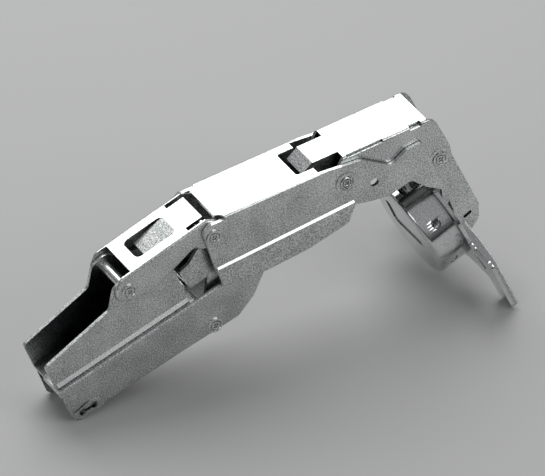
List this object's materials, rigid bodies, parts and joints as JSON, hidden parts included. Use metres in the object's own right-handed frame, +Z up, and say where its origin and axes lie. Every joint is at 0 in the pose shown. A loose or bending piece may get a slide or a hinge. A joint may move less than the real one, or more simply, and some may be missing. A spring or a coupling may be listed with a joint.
{
  "type": "concealed_hinge",
  "caption": "Wide angle concealed cabinet hinge in nickel plated pressed steel, with a scissor linkage of nested channels, a slide on arm and a round cup with a winged flange.",
  "frame": {"origin": "centre of the round cup at the seating plane of its flange", "axes": "+X from the arm towards the cup, +Z up as the open hinge rests, Y across the hinge"},
  "size_m": [0.1649, 0.064, 0.0708],
  "materials": {
    "nickel": "satin",
    "polished_nickel": "polished",
    "bright_pin": "satin",
    "dark_steel": "satin"
  },
  "bodies": {
    "arm": {"arm_shell": "nickel", "arm_channel": "nickel", "bearing_bracket": "nickel", "rear_pin": "bright_pin", "tilt_rivet_near": "bright_pin", "tilt_rivet_far": "bright_pin", "foot_rivet_near": "bright_pin", "foot_rivet_far": "bright_pin", "side_screw": "dark_steel", "depth_screw": "dark_steel", "clip_pin": "bright_pin", "clip_lever": "nickel"},
    "rear_link": {"rear_link": "nickel", "link_pin": "bright_pin"},
    "long_lever": {"long_lever": "nickel"},
    "cross_lever": {"cross_lever": "nickel", "crossing_pin": "bright_pin"},
    "front_lever": {"front_lever": "nickel", "front_pin": "bright_pin"},
    "cup": {"cup": "polished_nickel", "cup_pin": "bright_pin", "toe_pin_near": "bright_pin", "toe_pin_far": "bright_pin"}
  },
  "joints": [
    {"name": "rear_pivot", "type": "hinge", "parent": "arm", "child": "rear_link", "pos_m": [-0.1222, 0, 0.0208], "axis": [0, -1, 0], "range_deg": [0, 100]},
    {"name": "link_pivot", "type": "hinge", "parent": "rear_link", "child": "long_lever", "pos_m": [-0.0912, 0, 0.0315], "axis": [0, -1, 0], "range_deg": [-100, 0]},
    {"name": "crossing_pivot", "type": "hinge", "parent": "long_lever", "child": "cross_lever", "pos_m": [-0.0412, 0, 0.0342], "axis": [0, -1, 0], "range_deg": [0, 57]},
    {"name": "front_pivot", "type": "hinge", "parent": "cross_lever", "child": "front_lever", "pos_m": [-0.0044, 0, 0.0286], "axis": [0, -1, 0], "range_deg": [-37, 0]},
    {"name": "cup_pivot", "type": "hinge", "parent": "long_lever", "child": "cup", "pos_m": [-0.00888, 0, 0.00709], "axis": [0, -1, 0], "range_deg": [0, 127]}
  ],
  "couplings": [
    {"joint": "link_pivot", "follows": "rear_pivot", "ratio": -1},
    {"joint": "crossing_pivot", "follows": "rear_pivot", "ratio": 0.57},
    {"joint": "front_pivot", "follows": "rear_pivot", "ratio": -0.37},
    {"joint": "cup_pivot", "follows": "rear_pivot", "ratio": 1.27}
  ]
}
